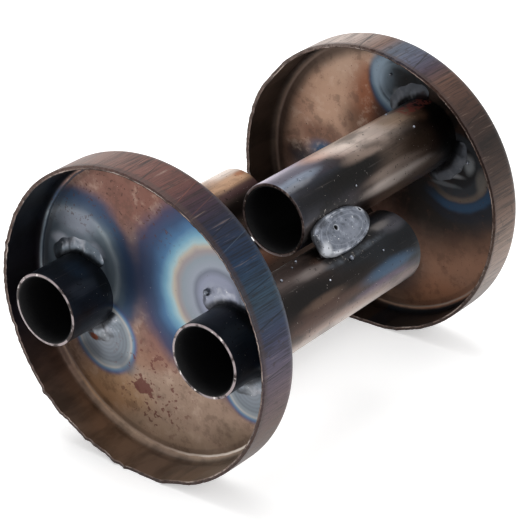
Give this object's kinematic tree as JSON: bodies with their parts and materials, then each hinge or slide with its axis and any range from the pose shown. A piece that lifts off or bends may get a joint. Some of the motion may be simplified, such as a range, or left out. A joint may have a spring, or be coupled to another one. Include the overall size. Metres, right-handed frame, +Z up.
{
  "type": "exhaust baffle insert",
  "caption": "Round welded steel muffler baffle: two pressed cups with rims to the front, two tubes through the front cup and two through the rear cup.",
  "frame": {"origin": "on the ground at the middle of the bounding box, below the common axis of the cups and midway between the two ends of the tubes", "axes": "+Y runs along the axis from the front cup to the rear cup, +Z is up through the axis from the rims' lowest flats, and +X is on the side of the right tube"},
  "size_m": [0.12, 0.1804, 0.1193],
  "materials": {
    "cap_steel": "bare pressed mild steel, brown with heat tints, brushed round the walls",
    "tube_steel": "bare drawn mild steel, blue-black to tan",
    "weld_metal": "as-welded, silver grey"
  },
  "bodies": {
    "root": {"front_cap": "cap_steel", "rear_cap": "cap_steel", "left_tube": "tube_steel", "right_tube": "tube_steel", "upper_tube": "tube_steel", "lower_tube": "tube_steel", "left_tube_top_weld": "weld_metal", "left_tube_bottom_weld": "weld_metal", "right_tube_top_weld": "weld_metal", "right_tube_bottom_weld": "weld_metal", "upper_tube_top_weld": "weld_metal", "upper_tube_bottom_weld": "weld_metal", "lower_tube_top_weld": "weld_metal", "lower_tube_bottom_weld": "weld_metal", "tube_bridge_weld": "weld_metal"}
  },
  "joints": []
}
